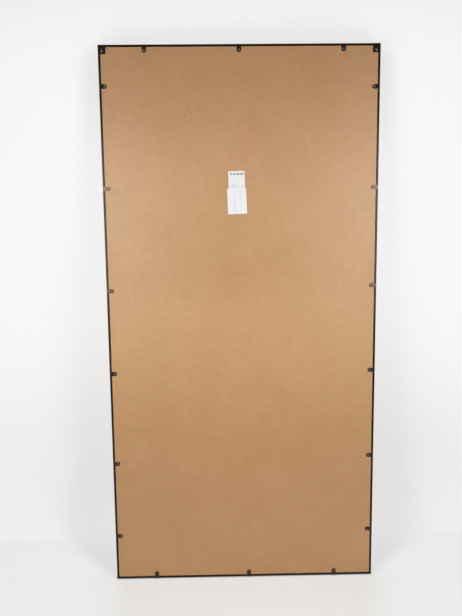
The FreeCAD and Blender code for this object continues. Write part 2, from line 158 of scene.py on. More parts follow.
class Signal:
    """A value inside a shader. Its operators add Math nodes, in either order of the operands."""

    def __init__(self, board: "NodeBoard", socket: Socket) -> None:
        """Keeps the node board and the output socket that carries the value."""
        self.board = board
        self.socket = socket

    def _math(self, operation: str, *operands: Operand) -> "Signal":
        """Adds one Math node on the operands, in their order."""
        inputs = dict(enumerate(operands))
        return self.board.signal("ShaderNodeMath", {"operation": operation}, inputs)

    def __add__(self, other: Operand) -> "Signal":
        """Gives self + other."""
        return self._math("ADD", self, other)

    def __radd__(self, other: Operand) -> "Signal":
        """Gives other + self."""
        return self._math("ADD", other, self)

    def __sub__(self, other: Operand) -> "Signal":
        """Gives self - other."""
        return self._math("SUBTRACT", self, other)

    def __rsub__(self, other: Operand) -> "Signal":
        """Gives other - self."""
        return self._math("SUBTRACT", other, self)

    def __mul__(self, other: Operand) -> "Signal":
        """Gives self * other."""
        return self._math("MULTIPLY", self, other)

    def __rmul__(self, other: Operand) -> "Signal":
        """Gives other * self."""
        return self._math("MULTIPLY", other, self)

    def __truediv__(self, other: Operand) -> "Signal":
        """Gives self / other."""
        return self._math("DIVIDE", self, other)

    def __rtruediv__(self, other: Operand) -> "Signal":
        """Gives other / self."""
        return self._math("DIVIDE", other, self)

    def __pow__(self, other: Operand) -> "Signal":
        """Gives self to the power of other."""
        return self._math("POWER", self, other)

    def __rpow__(self, other: Operand) -> "Signal":
        """Gives other to the power of self."""
        return self._math("POWER", other, self)

    def __abs__(self) -> "Signal":
        """Gives the value without its sign."""
        return self._math("ABSOLUTE", self)

    def __gt__(self, other: Operand) -> "Signal":
        """Gives 1 where self is more than other, or else 0."""
        return self._math("GREATER_THAN", self, other)

    def __lt__(self, other: Operand) -> "Signal":
        """Gives 1 where self is less than other, or else 0."""
        return self._math("LESS_THAN", self, other)

    def either(self, other: Operand) -> "Signal":
        """Gives the larger of self and other."""
        return self._math("MAXIMUM", self, other)

    def at_most(self, other: Operand) -> "Signal":
        """Gives the smaller of self and other."""
        return self._math("MINIMUM", self, other)

    def rise(self, low: float, high: float) -> "Signal":
        """Gives an S-curve from 0 at low to 1 at high."""
        inputs = {"Value": self, "From Min": low, "From Max": high}
        return self.board.signal("ShaderNodeMapRange", {"interpolation_type": "SMOOTHSTEP"}, inputs)

    def fall(self, low: float, high: float) -> "Signal":
        """Gives an S-curve from 1 at low to 0 at high."""
        return 1.0 - self.rise(low, high)

    def between(self, low: float, high: float) -> "Signal":
        """Gives 1 from low to high, and 0 outside."""
        return (self > low) * (self < high)

    def step(self, band: Band) -> "Signal":
        """Gives a soft step: a band's amount times an S-curve from its start to its end."""
        amount, low, high = band
        return amount * self.rise(low, high)

    def length_with(self, other: "Signal") -> "Signal":
        """Gives the square root of the sum of both squares."""
        return (self * self + other * other) ** 0.5


class NodeBoard:
    """The nodes of one material or world. The Mix node's colour sockets go by number."""

    MIX_FIRST = 6
    MIX_SECOND = 7
    MIX_RESULT = 2
    NOISE_MIDDLE = 0.5
    OCCLUSION_RAYS = 16

    def __init__(self, tree: bpy.types.NodeTree) -> None:
        """Starts from an empty tree."""
        tree.nodes.clear()
        self.tree = tree

    def feed(self, socket: Socket, value: Any) -> None:
        """Links a signal or a socket to an input, or sets a plain value on it.

        Args:
            socket: The input to feed.
            value: A Signal, an output socket, a number, or a colour or vector of three numbers.
        """
        source = value.socket if isinstance(value, Signal) else value
        if isinstance(source, Socket):
            self.tree.links.new(source, socket)
        elif socket.type == "RGBA":
            socket.default_value = (*source, 1.0)
        else:
            socket.default_value = source

    def node(self, kind: str, settings: Settings = None, inputs: Inputs = None) -> bpy.types.Node:
        """Adds a node of any type.

        Args:
            kind: The node's type.
            settings: Its attributes, which are set first; "stops" holds a ramp's stops.
            inputs: Values or links of its sockets, by name or number.

        Returns:
            The new node.
        """
        made = self.tree.nodes.new(kind)
        for name, value in (settings or {}).items():
            if name == "stops":
                self._set_stops(made.color_ramp, value)
            else:
                setattr(made, name, value)
        for key, value in (inputs or {}).items():
            self.feed(made.inputs[key], value)
        return made

    @staticmethod
    def _set_stops(ramp: bpy.types.ColorRamp, stops: Sequence[Pair]) -> None:
        """Makes a grey ramp that steps from stop to stop.

        Args:
            ramp: The ramp to set.
            stops: Each stop's place and level.
        """
        ramp.interpolation = "CONSTANT"
        while len(ramp.elements) < len(stops):
            ramp.elements.new(1.0)
        for element, (place, level) in zip(ramp.elements, stops):
            element.position = place
            element.color = (level, level, level, 1.0)

    def signal(
        self, kind: str, settings: Settings = None, inputs: Inputs = None, output: Union[str, int] = 0
    ) -> Signal:
        """Adds a node and gives one of its outputs, by name or number, as a signal."""
        return Signal(self, self.node(kind, settings, inputs).outputs[output])

    @cached_property
    def place(self) -> Socket:
        """The point on the surface, in the CAD frame."""
        return self.node("ShaderNodeTexCoord").outputs["Object"]

    def axes(self, vector: Optional[Socket] = None) -> Axes:
        """Gives the three parts of a vector, or else of the point on the surface."""
        parts = self.node("ShaderNodeSeparateXYZ", None, {0: vector or self.place}).outputs
        return Signal(self, parts[0]), Signal(self, parts[1]), Signal(self, parts[2])

    def turned(self, angle: float, scale: Point) -> Socket:
        """Gives the point on the surface, turned about Y by an angle in radians and then scaled."""
        turn = self.node("ShaderNodeMapping", None, {"Vector": self.place, "Rotation": (0.0, angle, 0.0)})
        return self.node("ShaderNodeMapping", None, {"Vector": turn.outputs[0], "Scale": scale}).outputs[0]

    def grain(self, layer: Grain, vector: Optional[Socket] = None) -> Signal:
        """Gives a layer's variation.

        Args:
            layer: The layer of grain.
            vector: Where it is read, or None for the point on the surface.

        Returns:
            Noise from about -0.5 to 0.5, or the distances to the middles of cells.
        """
        inputs = {"Vector": vector or self.place, "Scale": layer.scale}
        if layer.texture is Texture.CELLS:
            return self.signal(layer.texture.value, None, inputs)
        inputs.update({"Detail": layer.detail, "Distortion": layer.warp})
        return self.signal(layer.texture.value, None, inputs) - self.NOISE_MIDDLE

    def colour(self, factor: Operand, first: Any, second: Any, blend: Blend = Blend.MIX) -> Socket:
        """Puts two colours together.

        Args:
            factor: 0 for the first colour alone, 1 for the second in full.
            first: A colour or a colour socket.
            second: A colour or a colour socket.
            blend: How the second goes on the first.

        Returns:
            The new colour's socket.
        """
        settings = {"data_type": "RGBA", "blend_type": blend.value}
        inputs = {0: factor, self.MIX_FIRST: first, self.MIX_SECOND: second}
        return self.node("ShaderNodeMix", settings, inputs).outputs[self.MIX_RESULT]

    def hidden(self, reach: float) -> Signal:
        """Gives the share of a place's open side that things within reach cover."""
        settings = {"samples": self.OCCLUSION_RAYS}
        return 1.0 - self.signal("ShaderNodeAmbientOcclusion", settings, {"Distance": reach}, "AO")

    def glow(self, colour: Any) -> Socket:
        """Gives a shader that shows a colour by itself."""
        return self.node("ShaderNodeEmission", None, {"Color": colour, "Strength": 1.0}).outputs[0]

    def shader(self, factor: Operand, first: Socket, second: Socket) -> Socket:
        """Mixes two shaders, 0 for the first and 1 for the second."""
        return self.node("ShaderNodeMixShader", None, {0: factor, 1: first, 2: second}).outputs[0]

    def shown_rays(self) -> Signal:
        """Gives which rays show a thing itself.

        Returns:
            1 for rays from the camera, off gloss or through glass, or else 0.
        """
        rays = self.node("ShaderNodeLightPath").outputs
        camera = Signal(self, rays["Is Camera Ray"])
        gloss = Signal(self, rays["Is Glossy Ray"])
        through = Signal(self, rays["Is Transmission Ray"])
        return camera.either(gloss).either(through)


@dataclass(frozen=True)
class Finish:
    """A surface finish, which becomes one material."""

    name: str

    def surface(self, board: NodeBoard) -> Socket:
        """Gives the finish's shader."""
        raise NotImplementedError

    def material(self) -> bpy.types.Material:
        """Makes the finish's material.

        Returns:
            The new material.
        """
        made = bpy.data.materials.new(self.name)
        made.use_nodes = True
        board = NodeBoard(made.node_tree)
        board.node("ShaderNodeOutputMaterial", None, {"Surface": self.surface(board)})
        return made


@dataclass(frozen=True)
class GrainedFinish(Finish):
    """A finish of the object itself: layers of grain mix its two tones and vary its gloss and height.

    Attributes:
        tones: The colours of tone 0 and tone 1.
        layers: The layers of grain.
        depth: What a height of 1 in their relief stands for.
        strength: Share of the relief's effect.
        tone: The tone under the layers.
        tone_span: Tones between which a hard mix goes from 0 to 1, or None for an even mix.
        roughness: The roughness under the layers.
        metallic: 1 for bare metal.
        specular: Strength of its shine.
        shine: Colour of its shine.
    """

    tones: Tones
    layers: Layers
    depth: float
    strength: float
    tone: float = 0.0
    tone_span: Optional[Span] = None
    roughness: float = 0.5
    metallic: float = 0.0
    specular: float = 0.5
    shine: Colour = (1.0, 1.0, 1.0)

    def grains(self, board: NodeBoard) -> list[tuple[Grain, Signal]]:
        """Gives each layer with its variation."""
        return [(layer, board.grain(layer)) for layer in self.layers]

    def coloured(self, board: NodeBoard, tone: Signal) -> Socket:
        """Gives the colour of a tone."""
        factor = tone.rise(*self.tone_span) if self.tone_span else tone
        return board.colour(factor, *self.tones)

    def surface(self, board: NodeBoard) -> Socket:
        """Gives a Principled shader with the sums of the layers, each times its share.

        Args:
            board: The material's nodes.

        Returns:
            The shader's socket.
        """
        grains = self.grains(board)
        tone = sum((layer.tone * grain for layer, grain in grains if layer.tone), self.tone)
        gloss = sum((layer.gloss * grain for layer, grain in grains if layer.gloss), self.roughness)
        height = sum((layer.height * grain for layer, grain in grains if layer.height), 0.0)
        bump = {"Height": height, "Distance": self.depth, "Strength": self.strength}
        inputs = {
            "Base Color": self.coloured(board, tone),
            "Metallic": self.metallic,
            "Roughness": gloss,
            "Normal": board.node("ShaderNodeBump", None, bump).outputs[0],
            "Specular IOR Level": self.specular,
            "Specular Tint": self.shine,
        }
        return board.node("ShaderNodeBsdfPrincipled", None, inputs).outputs[0]


@dataclass(frozen=True)
class Fibreboard(GrainedFinish):
    """Pressed brown fibreboard: clouds, mottle and grain, short fibres lying every way, a few dark specks.

    A band is a soft step: its amount, and the places where it begins and ends. The bands of tone and hue
    up the board and its paler sides are painted light: they stand in for how the lamps' light and sheen
    fall.
    """

    tones: Tones = ((0.488, 0.259, 0.1035), (0.648, 0.372, 0.1815))
    layers: Layers = (
        Grain(6.0, detail=2.0, tone=0.45),
        Grain(48.0, detail=4.0, warp=0.6, tone=0.55, gloss=0.12),
        Grain(900.0, tone=0.45, height=0.8),
    )
    depth: float = 0.12 * MILLIMETRE
    strength: float = 0.5
    tone: float = 0.50
    roughness: float = 0.43
    specular: float = 0.43
    # painted light and shade: bands of tone up the board
    painted_light_bands: tuple[Band, ...] = (
        (-0.225, 0.10, 0.47),
        (0.26, 0.50, 0.85),
        (-0.26, 0.92, 1.09),
        (0.26, 1.06, 1.42),
        (-0.11, 1.45, 1.70),
    )
    # painted sheen: the board paler towards its left and right sides
    painted_sheen_sides: Band = (0.10, 0.25, 0.42)
    fibre: Grain = Grain(1.0, detail=2.0, warp=0.4, tone=0.3, gloss=-0.08, height=1.0)
    fibre_scale: Point = (1500.0, 300.0, 190.0)
    fibre_turns: tuple[float, ...] = (0.35, 1.45, 2.55)
    fibre_span: Span = (0.02, 0.24)
    tints: Tones = ((1.013, 0.969, 1.010), (0.987, 1.031, 0.992))
    hue: float = 0.5
    patches: Grain = Grain(22.0, tone=0.75)
    # painted sheen: bands of hue up the board
    painted_sheen_hue_bands: tuple[Band, ...] = ((-0.20, 0.08, 0.25), (0.36, 0.40, 0.85), (-0.48, 1.15, 1.62))
    speck: Colour = (0.150, 0.082, 0.042)
    speck_scale: float = 17.0
    speck_size: float = 0.030
    speck_least_share: float = 0.4
    speck_rim: Span = (0.6, 1.0)
    speck_share: float = 0.10
    speck_strength: float = 0.75

    def grains(self, board: NodeBoard) -> list[tuple[Grain, Signal]]:
        """Gives each layer with its variation, and the fibres, the mean of noise drawn out every way."""
        streaks = [
            board.grain(self.fibre, board.turned(angle, self.fibre_scale)).rise(*self.fibre_span)
            for angle in self.fibre_turns
        ]
        return super().grains(board) + [(self.fibre, sum(streaks[1:], streaks[0]) / len(streaks))]

    def specks(self, board: NodeBoard) -> Signal:
        """Gives small dots in some of the cells of a flat cell pattern on X and Z.

        Args:
            board: The material's nodes.

        Returns:
            1 in a dot, 0 outside.
        """
        across, _, up = board.axes()
        flat = board.node("ShaderNodeCombineXYZ", None, {0: across, 1: up}).outputs[0]
        inputs = {"Vector": flat, "Scale": self.speck_scale}
        cells = board.node(Texture.CELLS.value, {"voronoi_dimensions": "2D"}, inputs)
        chance, width, _ = board.axes(cells.outputs["Color"])
        size = self.speck_size * (self.speck_least_share + width)
        dot = (Signal(board, cells.outputs["Distance"]) / size).fall(*self.speck_rim)
        return dot * (chance < self.speck_share)

    def coloured(self, board: NodeBoard, tone: Signal) -> Socket:
        """Gives the board's colour: painted light in bands and paler sides, patches of hue, and specks.

        Args:
            board: The material's nodes.
            tone: The tone of its grain.

        Returns:
            The colour's socket.
        """
        across, _, up = board.axes()
        # painted light and shade in bands up the board, and painted sheen on its sides
        tone = sum((up.step(band) for band in self.painted_light_bands), tone) + abs(across).step(self.painted_sheen_sides)
        hue = self.hue + self.patches.tone * board.grain(self.patches)
        # painted sheen in bands of hue up the board
        hue = sum((up.step(band) for band in self.painted_sheen_hue_bands), hue)
        brown = board.colour(tone, *self.tones)
        plain = board.colour(1.0, brown, board.colour(hue, *self.tints), Blend.TINT)
        return board.colour(self.specks(board) * self.speck_strength, plain, self.speck)


@dataclass(frozen=True)
class PowderCoat(GrainedFinish):
    """Satin black powder coat on steel: slow drift, a fine orange-peel skin and grain."""

    tones: Tones = ((0.0080, 0.0050, 0.0030), (0.0155, 0.0100, 0.0062))
    layers: Layers = (
        Grain(22.0, tone=0.8, gloss=0.10),
        Grain(420.0, detail=2.0, gloss=0.08, height=1.0),
        Grain(1500.0, detail=2.0, tone=0.9, height=0.5),
    )
    depth: float = 0.03 * MILLIMETRE
    strength: float = 0.6
    tone: float = 0.4
    roughness: float = 0.30
    specular: float = 0.24
    shine: Colour = (1.0, 0.79, 0.62)


@dataclass(frozen=True)
class BlackScrew(GrainedFinish):
    """Black-plated screw steel, a little brighter where the driver has rubbed it."""

    tones: Tones = ((0.145, 0.108, 0.080), (0.330, 0.252, 0.190))
    layers: Layers = (Grain(900.0, tone=1.0, gloss=0.16), Grain(4200.0, detail=2.0, height=1.0))
    depth: float = 0.02 * MILLIMETRE
    strength: float = 0.5
    tone_span: Optional[Span] = (0.02, 0.32)
    roughness: float = 0.26
    metallic: float = 1.0


@dataclass(frozen=True)
class SilveredGlass(Finish):
    """Silvered float glass: a mirror at the front, green at the cut edge and painted grey behind."""

    node: str = "mirror_glass"
    skin: float = 0.05 * MILLIMETRE
    silver: Tones = ((0.905, 0.925, 0.918), (0.86, 0.885, 0.880))
    haze: Grain = Grain(5.0, detail=4.0, tone=0.25, gloss=0.012)
    haze_span: Span = (-0.05, 0.30)
    edge: Colour = (0.070, 0.190, 0.150)
    paint: Colour = (0.180, 0.195, 0.200)
    paint_share: float = 0.85
    brush: Grain = Grain(260.0, detail=2.0, tone=0.3)
    silver_roughness: float = 0.006
    paint_roughness: float = 0.45
    edge_roughness: float = 0.08

    def surface(self, board: NodeBoard) -> Socket:
        """Gives a Principled shader with each side's colour, metal and gloss by its depth in the frame.

        Args:
            board: The material's nodes.

        Returns:
            The shader's socket.
        """
        front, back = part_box(self.node)
        depth = board.axes()[1]
        is_front = depth < front.y + self.skin
        is_back = depth > back.y - self.skin
        haze = board.grain(self.haze).rise(*self.haze_span)
        cover = is_back * (self.paint_share + self.brush.tone * board.grain(self.brush))
        behind = board.colour(cover, self.edge, self.paint)
        silver = board.colour(haze * self.haze.tone, *self.silver)
        mirrored = is_front * (self.silver_roughness + self.haze.gloss * haze)
        plain = is_back * self.paint_roughness + (1.0 - is_front) * self.edge_roughness
        inputs = {
            "Base Color": board.colour(is_front, behind, silver),
            "Metallic": is_front,
            "Roughness": mirrored + plain,
        }
        return board.node("ShaderNodeBsdfPrincipled", None, inputs).outputs[0]


def foam_layers(cell_scale: float) -> Layers:
    """Gives the layers of foam: closed cells, and a slow drift."""
    return Grain(cell_scale, tone=0.9, height=1.0, texture=Texture.CELLS), Grain(30.0, tone=0.5, gloss=0.1)


@dataclass(frozen=True)
class CellFoam(GrainedFinish):
    """Foam with small closed cells, pale in the liner and dark in the glazing tape."""

    tones: Tones = ((0.50, 0.515, 0.52), (0.70, 0.715, 0.72))
    layers: Layers = foam_layers(900.0)
    depth: float = 0.3 * MILLIMETRE
    strength: float = 0.6
    tone: float = 0.2
    roughness: float = 0.85


@dataclass(frozen=True)
class BlockRubber(GrainedFinish):
    """Firm black rubber with a dusty bloom."""

    tones: Tones = ((0.018, 0.018, 0.018), (0.070, 0.069, 0.067))
    layers: Layers = (
        Grain(180.0, detail=4.0, tone=1.0, gloss=0.15),
        Grain(1800.0, detail=2.0, height=1.0),
    )
    depth: float = 0.05 * MILLIMETRE
    strength: float = 0.5
    tone_span: Optional[Span] = (-0.1, 0.4)
    roughness: float = 0.72


@dataclass(frozen=True)
class Crease:
    """A soft fold that runs up a label, in shares of the label's width and height.

    Attributes:
        place: Where it crosses the middle of the label, from its left as seen from behind.
        lean: How far it goes sideways over the full height.
        low: Where it starts.
        high: Where it ends.
        width: Half of its width.
        lift: How far it stands up, in metres.
        shade: How dark the painted shade along it is.
    """

    place: float
    lean: float
    low: float
    high: float
    width: float
    lift: float
    shade: float

    def off_line(self, across: Value, up: Value) -> Value:
        """Gives how far places lie beside the fold's line, for arrays or signals."""
        return across - self.place - self.lean * (up - 0.5)


@dataclass(frozen=True)
class Mark:
    """A plain printed block or rule on a label, in shares of its width and height.

    Attributes:
        stops: Places across the label where the print begins and ends, in turn.
        low: Its lower edge.
        high: Its upper edge.
        strength: How dark it is, 1 for full ink.
    """

    stops: tuple[float, ...]
    low: float
    high: float
    strength: float


@dataclass(frozen=True)
class LabelPaper(GrainedFinish):
    """White label paper with faint fibres, plain printed rules and painted shade in its folds."""

    tones: Tones = ((0.895, 0.890, 0.890), (0.835, 0.845, 0.850))
    layers: Layers = (
        Grain(700.0, warp=0.5, tone=0.7, gloss=0.12, height=1.0),
        Grain(55.0, tone=0.9),
    )
    depth: float = 0.03 * MILLIMETRE
    strength: float = 0.4
    tone: float = 0.4
    roughness: float = 0.62
    marks: tuple[Mark, ...] = ()
    creases: tuple[Crease, ...] = ()
    ink: Colour = (0.030, 0.034, 0.036)
    # painted shade: the grey that the folds go towards
    fold: Colour = (0.560, 0.565, 0.560)

    def printed(self, board: NodeBoard, across: Signal, up: Signal) -> Signal:
        """Gives the ink on the paper: stepped ramps across, cut to a band of the height.

        Args:
            board: The material's nodes.
            across: Share of the width.
            up: Share of the height.

        Returns:
            0 for bare paper, 1 for full ink.
        """
        ink = across * 0.0
        for mark in self.marks:
            levels = [(0.0, 0.0)] + [(stop, float(1 - place % 2)) for place, stop in enumerate(mark.stops)]
            ramp = board.signal("ShaderNodeValToRGB", {"stops": levels}, {0: across})
            ink = ink.either(ramp * up.between(mark.low, mark.high) * mark.strength)
        return ink

    def fold_shading(self, across: Signal, up: Signal) -> Signal:
        """Gives the painted shade in the folds, which falls off within a fold's width and at its ends.

        Args:
            across: Share of the width.
            up: Share of the height.

        Returns:
            0 for flat paper, up to a fold's own shade on its line.
        """
        grey = across * 0.0
        for crease in self.creases:
            start = up.rise(crease.low - FOLD_FADE_SHARE, crease.low + FOLD_FADE_SHARE)
            end = up.fall(crease.high - FOLD_FADE_SHARE, crease.high + FOLD_FADE_SHARE)
            line = abs(crease.off_line(across, up)).fall(0.0, crease.width)
            grey = grey.either(line * start * end * crease.shade)
        return grey

    def coloured(self, board: NodeBoard, tone: Signal) -> Socket:
        """Gives the paper's colour, with painted shade in its folds, and its print.

        Args:
            board: The material's nodes.
            tone: The tone of its grain.

        Returns:
            The colour's socket.
        """
        across, up, _ = board.axes(board.node("ShaderNodeUVMap", {"uv_map": SHEET_UV}).outputs[0])
        bare = super().coloured(board, tone)
        # painted shade along the folds
        creased = board.colour(self.fold_shading(across, up), bare, self.fold)
        return board.colour(self.printed(board, across, up), creased, self.ink)


def s_curve(values: Grid) -> Grid:
    """Gives 3t^2 - 2t^3 of the values, held between 0 and 1."""
    held = np.clip(values, 0.0, 1.0)
    return held * held * (3.0 - 2.0 * held)


def unit_grid(rows: int, columns: int) -> tuple[Grid, Grid]:
    """Gives shares from 0 to 1 up the rows and across the columns of a grid."""
    up, across = np.meshgrid(np.linspace(0, 1, rows), np.linspace(0, 1, columns), indexing="ij")
    return up, across


def grid_faces(rows: int, columns: int) -> Faces:
    """Gives the four-sided faces between neighbouring points of a grid.

    Args:
        rows: Number of rows of points.
        columns: Number of points in a row.

    Returns:
        One row of four point numbers for each face.
    """
    index = np.arange(rows * columns).reshape(rows, columns)
    corners = [index[:-1, :-1], index[:-1, 1:], index[1:, 1:], index[1:, :-1]]
    return np.stack(corners, axis=-1).reshape(-1, 4)


def linked(made: bpy.types.Object) -> bpy.types.Object:
    """Links an object to the scene."""
    bpy.context.scene.collection.objects.link(made)
    return made


def smooth_object(name: str, points: Grid, faces: Faces) -> bpy.types.Object:
    """Makes a smooth mesh object whose edges are sharp where faces meet at a wide angle.

    Args:
        name: The name of the mesh and the object.
        points: Points in any grid, their last axis X, Y and Z.
        faces: Point numbers of each face.

    Returns:
        The new object, linked to the scene.
    """
    mesh = bpy.data.meshes.new(name)
    mesh.from_pydata(points.reshape(-1, 3).tolist(), [], faces.tolist())
    mesh.polygons.foreach_set("use_smooth", np.ones(len(faces), dtype=bool))
    mesh.set_sharp_from_angle(angle=SHARP_ANGLE)
    return linked(bpy.data.objects.new(name, mesh))


def closed_sheet(name: str, top: Grid, under: Grid) -> bpy.types.Object:
    """Makes a closed thin sheet from its two sides, with a UV map from 0 to 1 along columns and rows.

    The two sides are equal grids of points. Neighbouring points of a side make its four-sided faces, turned
    round on the underside, and the points along the border of both make a rim between them.

    Args:
        name: The piece's name.
        top: Points of the upper side, rows by columns by 3.
        under: Points of the underside, in the same order.

    Returns:
        The new object, linked to the scene.
    """
    rows, columns = top.shape[:2]
    count = rows * columns
    index = np.arange(count).reshape(rows, columns)
    upper = grid_faces(rows, columns)
    lower = upper[:, ::-1] + count
    border = np.concatenate([index[0, :-1], index[:-1, -1], index[-1, :0:-1], index[:0:-1, 0]])
    ahead = np.roll(border, -1)
    rim = np.stack([ahead, border, border + count, ahead + count], axis=1)
    faces = np.concatenate([upper, lower, rim])
    made = smooth_object(name, np.stack([top, under]), faces)
    up, across = unit_grid(rows, columns)
    shares = np.stack([across.ravel(), up.ravel()], axis=1)
    by_corner = np.concatenate([shares, shares])[faces.ravel()]
    made.data.uv_layers.new(name=SHEET_UV).data.foreach_set("uv", by_corner.astype(np.float32).ravel())
    return made


def hide(made: bpy.types.Object, unseen: Iterable[Rays]) -> None:
    """Hides an object from some kinds of rays."""
    for rays in unseen:
        setattr(made, rays.value, False)


def stage_sheet(name: str, points: Grid, finish: Finish, unseen: Iterable[Rays]) -> None:
    """Makes a sheet of the stage, with one side, from a grid of points.

    Args:
        name: Its name.
        points: Rows by columns by 3.
        finish: Its finish.
        unseen: Kinds of rays that it is hidden from.
    """
    made = smooth_object(name, points, grid_faces(*points.shape[:2]))
    made.data.materials.append(finish.material())
    hide(made, unseen)
    LOG.info("set up %s", name)


def sided(stem: str, sides: Iterable[Side]) -> list[str]:
    """Gives the names of nodes, one for each side, such as hanger_plate_left."""
    return [f"{stem}_{side.value}" for side in sides]


def dress(names: Sequence[str], finish: Finish) -> None:
    """Gives CAD nodes a finish through their material slots.

    Args:
        names: The nodes.
        finish: The finish that they share.
    """
    material = finish.material()
    for name in names:
        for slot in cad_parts[name].material_slots:
            slot.material = material
        LOG.info("dressed %s in %s", name, finish.name)


@dataclass
class SteelFrame:
    """The four mitred members of the thin black frame."""

    members: tuple[str, ...] = ("top_rail", "bottom_rail", "left_stile", "right_stile")
    coat: PowderCoat = PowderCoat("satin_black_coat")

    def dress(self) -> None:
        """Coats the members."""
        dress(self.members, self.coat)


@dataclass
class GlassPack:
    """What the frame holds: the mirror, its tape, its blocks, the liner and the board behind."""

    mirror: SilveredGlass = SilveredGlass("silvered_glass")
    liner: CellFoam = CellFoam("pale_liner_foam")
    tape: CellFoam = CellFoam(
        "dark_glazing_tape", ((0.016, 0.016, 0.016), (0.045, 0.045, 0.044)), foam_layers(1400.0)
    )
    rubber: BlockRubber = BlockRubber("setting_rubber")
    board: Fibreboard = Fibreboard("brown_fibreboard")

    def dress(self) -> None:
        """Gives each layer its finish."""
        dress([self.mirror.node], self.mirror)
        dress(["foam_liner"], self.liner)
        dress(sided("glazing_tape", Side), self.tape)
        dress(sided("setting_block", FLANKS), self.rubber)
        dress(["back_panel"], self.board)


@dataclass
class Fixings:
    """The tabs that hold the board, their screws, and the two keyhole plates."""

    counts: tuple[tuple[Side, int], ...] = (
        (Side.TOP, 3),
        (Side.BOTTOM, 3),
        (Side.LEFT, 6),
        (Side.RIGHT, 6),
    )
    coat: PowderCoat = PowderCoat("satin_black_tab", roughness=0.27, specular=0.58, shine=(1.0, 0.70, 0.51))
    plating: BlackScrew = BlackScrew("black_screw")

    def rows(self, stem: str) -> list[str]:
        """Gives the names of the row of fixings on each side, such as tab_top_1."""
        return [f"{stem}_{side.value}_{place + 1}" for side, count in self.counts for place in range(count)]

    def dress(self) -> None:
        """Gives tabs, plates and screws their finishes."""
        dress(self.rows("tab") + sided("hanger_plate", FLANKS), self.coat)
        dress(self.rows("screw"), self.plating)


@dataclass
class PaperLabel:
    """A paper label stuck to the board, a thin sheet with soft folds and slightly lifted corners.

    Attributes:
        name: The piece's name.
        node: The CAD node that it stands for, whose middle is its own.
        size: Its width and height.
        turn: Its turn about +Y, in degrees.
        paper: Its finish, with its folds.
        step_from: Share of the height above which it lies on the label under it, or None.
        step_share: Share of the height over which it climbs.
        step_rise: How far it climbs.
        corner_lift: How far its corners stand up.
    """

    name: str
    node: str
    size: tuple[float, float]
    turn: float
    paper: LabelPaper
    step_from: Optional[float] = None
    step_share: float = 0.03
    step_rise: float = 0.17 * MILLIMETRE
    corner_lift: float = 0.25 * MILLIMETRE
    thickness: float = 0.11 * MILLIMETRE
    glue: float = 0.02 * MILLIMETRE
    rows: int = 91
    columns: int = 71

    def height(self, across: Grid, up: Grid) -> Grid:
        """Gives the underside's height above the board.

        The sum of the glue line, an S-curve step where the sheet climbs on the label below, a bell curve
        across each fold that fades at its ends, and a lift that grows with the sixth power towards corners.

        Args:
            across: Shares of the width.
            up: Shares of the height.

        Returns:
            Heights in metres.
        """
        total = np.full_like(across, self.glue)
        if self.step_from is not None:
            total = total + self.step_rise * s_curve((up - self.step_from) / self.step_share + 1.0)
        fade = 2.0 * FOLD_FADE_SHARE
        for crease in self.paper.creases:
            away = crease.off_line(across, up) / crease.width
            ends = s_curve((up - crease.low) / fade + 0.5) * s_curve((crease.high - up) / fade + 0.5)
            total = total + crease.lift * np.exp(-2.0 * away * away) * ends
        corner = np.abs(2.0 * across - 1.0) * np.abs(2.0 * up - 1.0)
        return total + self.corner_lift * corner**6

    def build(self) -> None:
        """Works out the sheet, dresses it and puts it in place of its CAD node.

        A point at shares (s, t) lies at width * (1/2 - s) along the label's own X and height * (t - 1/2)
        along its own Z, turned about Y; its Y is the board's face plus the height there.
        """
        up, across = unit_grid(self.rows, self.columns)
        side = self.size[0] * (0.5 - across)
        rise = self.size[1] * (up - 0.5)
        angle = math.radians(self.turn)
        low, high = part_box(self.node)
        middle = (low + high) / 2.0
        x = middle.x + side * math.cos(angle) + rise * math.sin(angle)
        z = middle.z - side * math.sin(angle) + rise * math.cos(angle)
        under_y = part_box("back_panel")[1].y + self.height(across, up)
        under = np.stack([x, under_y, z], axis=-1)
        top = np.stack([x, under_y + self.thickness, z], axis=-1)
        made = closed_sheet(self.name, top, under)
        made.data.materials.append(self.paper.material())
        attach(made, BODY)
        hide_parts(self.node)
        LOG.info("built %s with %d faces", self.name, len(made.data.polygons))


LOWER_CREASES = (
    Crease(place=0.38, lean=0.02, low=0.10, high=0.84, width=0.060, lift=0.35 * MILLIMETRE, shade=0.28),
    Crease(place=0.705, lean=-0.06, low=0.22, high=0.88, width=0.055, lift=0.35 * MILLIMETRE, shade=0.34),
)
BLOCK_ROW_SHARES = (0.11, 0.20, 0.30, 0.41, 0.475, 0.56, 0.60, 0.655, 0.69, 0.785, 0.815, 0.90)
UPPER_MARKS = (
    Mark(BLOCK_ROW_SHARES, low=0.825, high=0.905, strength=0.80),
    Mark((0.17, 0.445), low=0.20, high=0.39, strength=0.09),
    Mark((0.51, 0.94), low=0.30, high=0.34, strength=0.08),
    Mark((0.51, 0.94), low=0.20, high=0.257, strength=0.11),
)
UPPER_PAPER = LabelPaper("upper_label_paper", marks=UPPER_MARKS)
LOWER_PAPER = LabelPaper("lower_label_paper", creases=LOWER_CREASES)
LABELS = (
    PaperLabel("paper_label_upper", "label_upper", (0.0535, 0.068), turn=1.5, paper=UPPER_PAPER),
    PaperLabel(
        "paper_label_lower", "label_lower", (0.0625, 0.083), turn=2.0, paper=LOWER_PAPER, step_from=0.835
    ),
)


